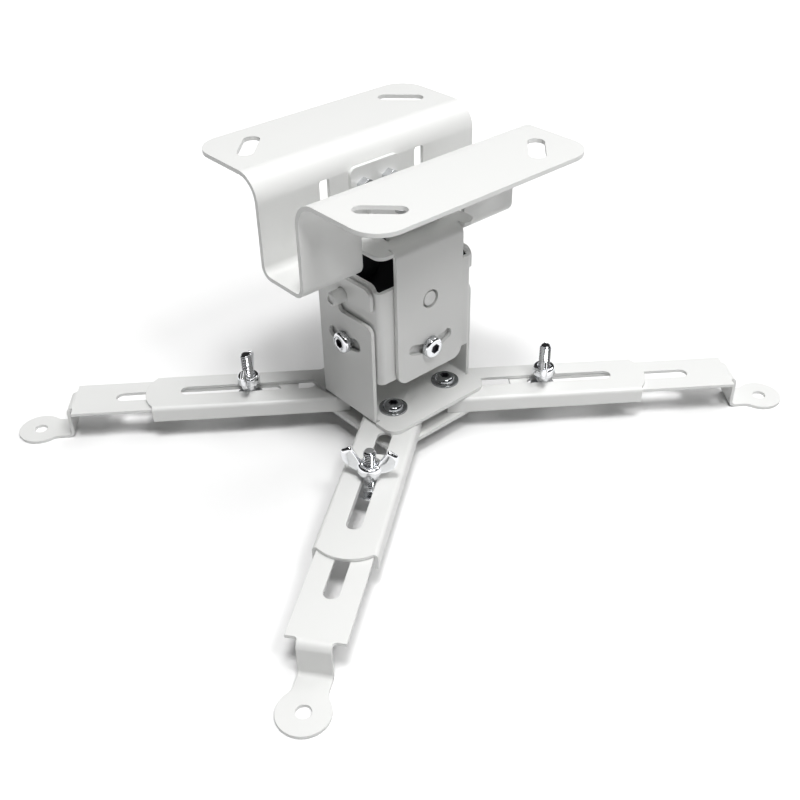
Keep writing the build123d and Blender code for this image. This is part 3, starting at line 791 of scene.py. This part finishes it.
# %% Draw a wing
around_wing = 28
rows_of_wing = 40
wing_low_mm = [(2.2, 3.4), (13.6, 3.7), (13.7, 14.2)]
wing_high_mm = [(2.2, 8.0), (5.8, 10.4), (8.9, 17.0)]
crowding = 0.9
cap_start, cap_shrink = 0.86, 0.25
smallest_cap = 0.0004
wing_half, root_swell, tip_swell = 1.4 * mm, 2.2 * mm, 0.3 * mm
root_length = 0.15
oval_powers = (0.7, 0.55)


def bezier(control, t):
    """Points at t of a curve that blends three control points with the weights (1-t)^2, 2t(1-t) and t^2."""
    a, b, c = [np.array(point) * mm for point in control]
    t = t[:, None]
    return a * (1 - t) ** 2 + 2 * b * t * (1 - t) + c * t**2


def signed_power(value, power):
    """The power of a value's size, with the value's sign."""
    return np.sign(value) * np.abs(value) ** power


def cast_wing(foot, heading, side):
    """Grid of a wing: between the lower and the upper curve each section is a flat oval.

    Its half height is half the distance of the two curves. Its half thickness falls from the root by an
    exponential and grows a little by the cube towards the tip. Over the last stretch both shrink by a
    quarter ellipse, which rounds the tip. The oval is a circle whose sine and cosine are raised to powers
    below 1.
    """
    t = np.sin(np.linspace(0, 1, rows_of_wing) * math.pi / 2) ** crowding
    lower = bezier(wing_low_mm, t)
    upper = bezier(wing_high_mm, t)
    beyond = np.clip((t - cap_start) / (1 - cap_start), 0, 1)
    cap = np.sqrt(np.clip(1 - beyond**2, smallest_cap, 1))
    thick = (wing_half + root_swell * np.exp(-t / root_length) + tip_swell * t**3) * cap
    reach = (upper - lower) / 2 * (1 - cap_shrink + cap_shrink * cap)[:, None]
    turn = np.linspace(0, 2 * math.pi, around_wing, endpoint=False)
    oval_up = signed_power(np.sin(turn), oval_powers[0])
    oval_across = signed_power(np.cos(turn), oval_powers[1])
    plane = (lower + upper)[:, None, :] / 2 + reach[:, None, :] * oval_up[None, :, None]
    across = thick[:, None] * oval_across[None, :]
    out = Vector((math.cos(heading), math.sin(heading), 0)) * side
    aside = Vector((-math.sin(heading), math.cos(heading), 0)) * side
    rows = np.stack(
        [
            foot.x + plane[..., 0] * out.x + across * aside.x,
            foot.y + plane[..., 0] * out.y + across * aside.y,
            foot.z + plane[..., 1],
        ],
        axis=-1,
    )
    return sealed_in_middle(rows)


print("a wing has", rows_of_wing, "sections")

# %% [markdown]
# Each wing nut was left turned its own way when it was last tightened. The CAD nuts already have those
# turns, and the direction in which a nut is widest gives its turn back.


# %% Cast the wing nuts
def widest_heading(node):
    """The heading along which a node's points spread furthest: the main axis of their x and y."""
    points = np.empty(len(node.data.vertices) * 3)
    node.data.vertices.foreach_get("co", points)
    spread = np.cov(points.reshape(-1, 3)[:, :2].T)
    widest = np.linalg.eigh(spread)[1][:, -1]
    return math.atan2(widest[1], widest[0])


for arm in arms:
    nut = f"wing_nut_{arm}"
    low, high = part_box(nut)
    axis = (low + high) / 2
    nut_foot = Vector((axis.x, axis.y, low.z))
    nut_heading = widest_heading(nodes[nut])
    grids = [turned_hub(nut_foot)] + [cast_wing(nut_foot, nut_heading, side) for side in sides]
    place_piece(f"cast_{nut}", nut, f"wing_{arm}", grids, wing_plate)
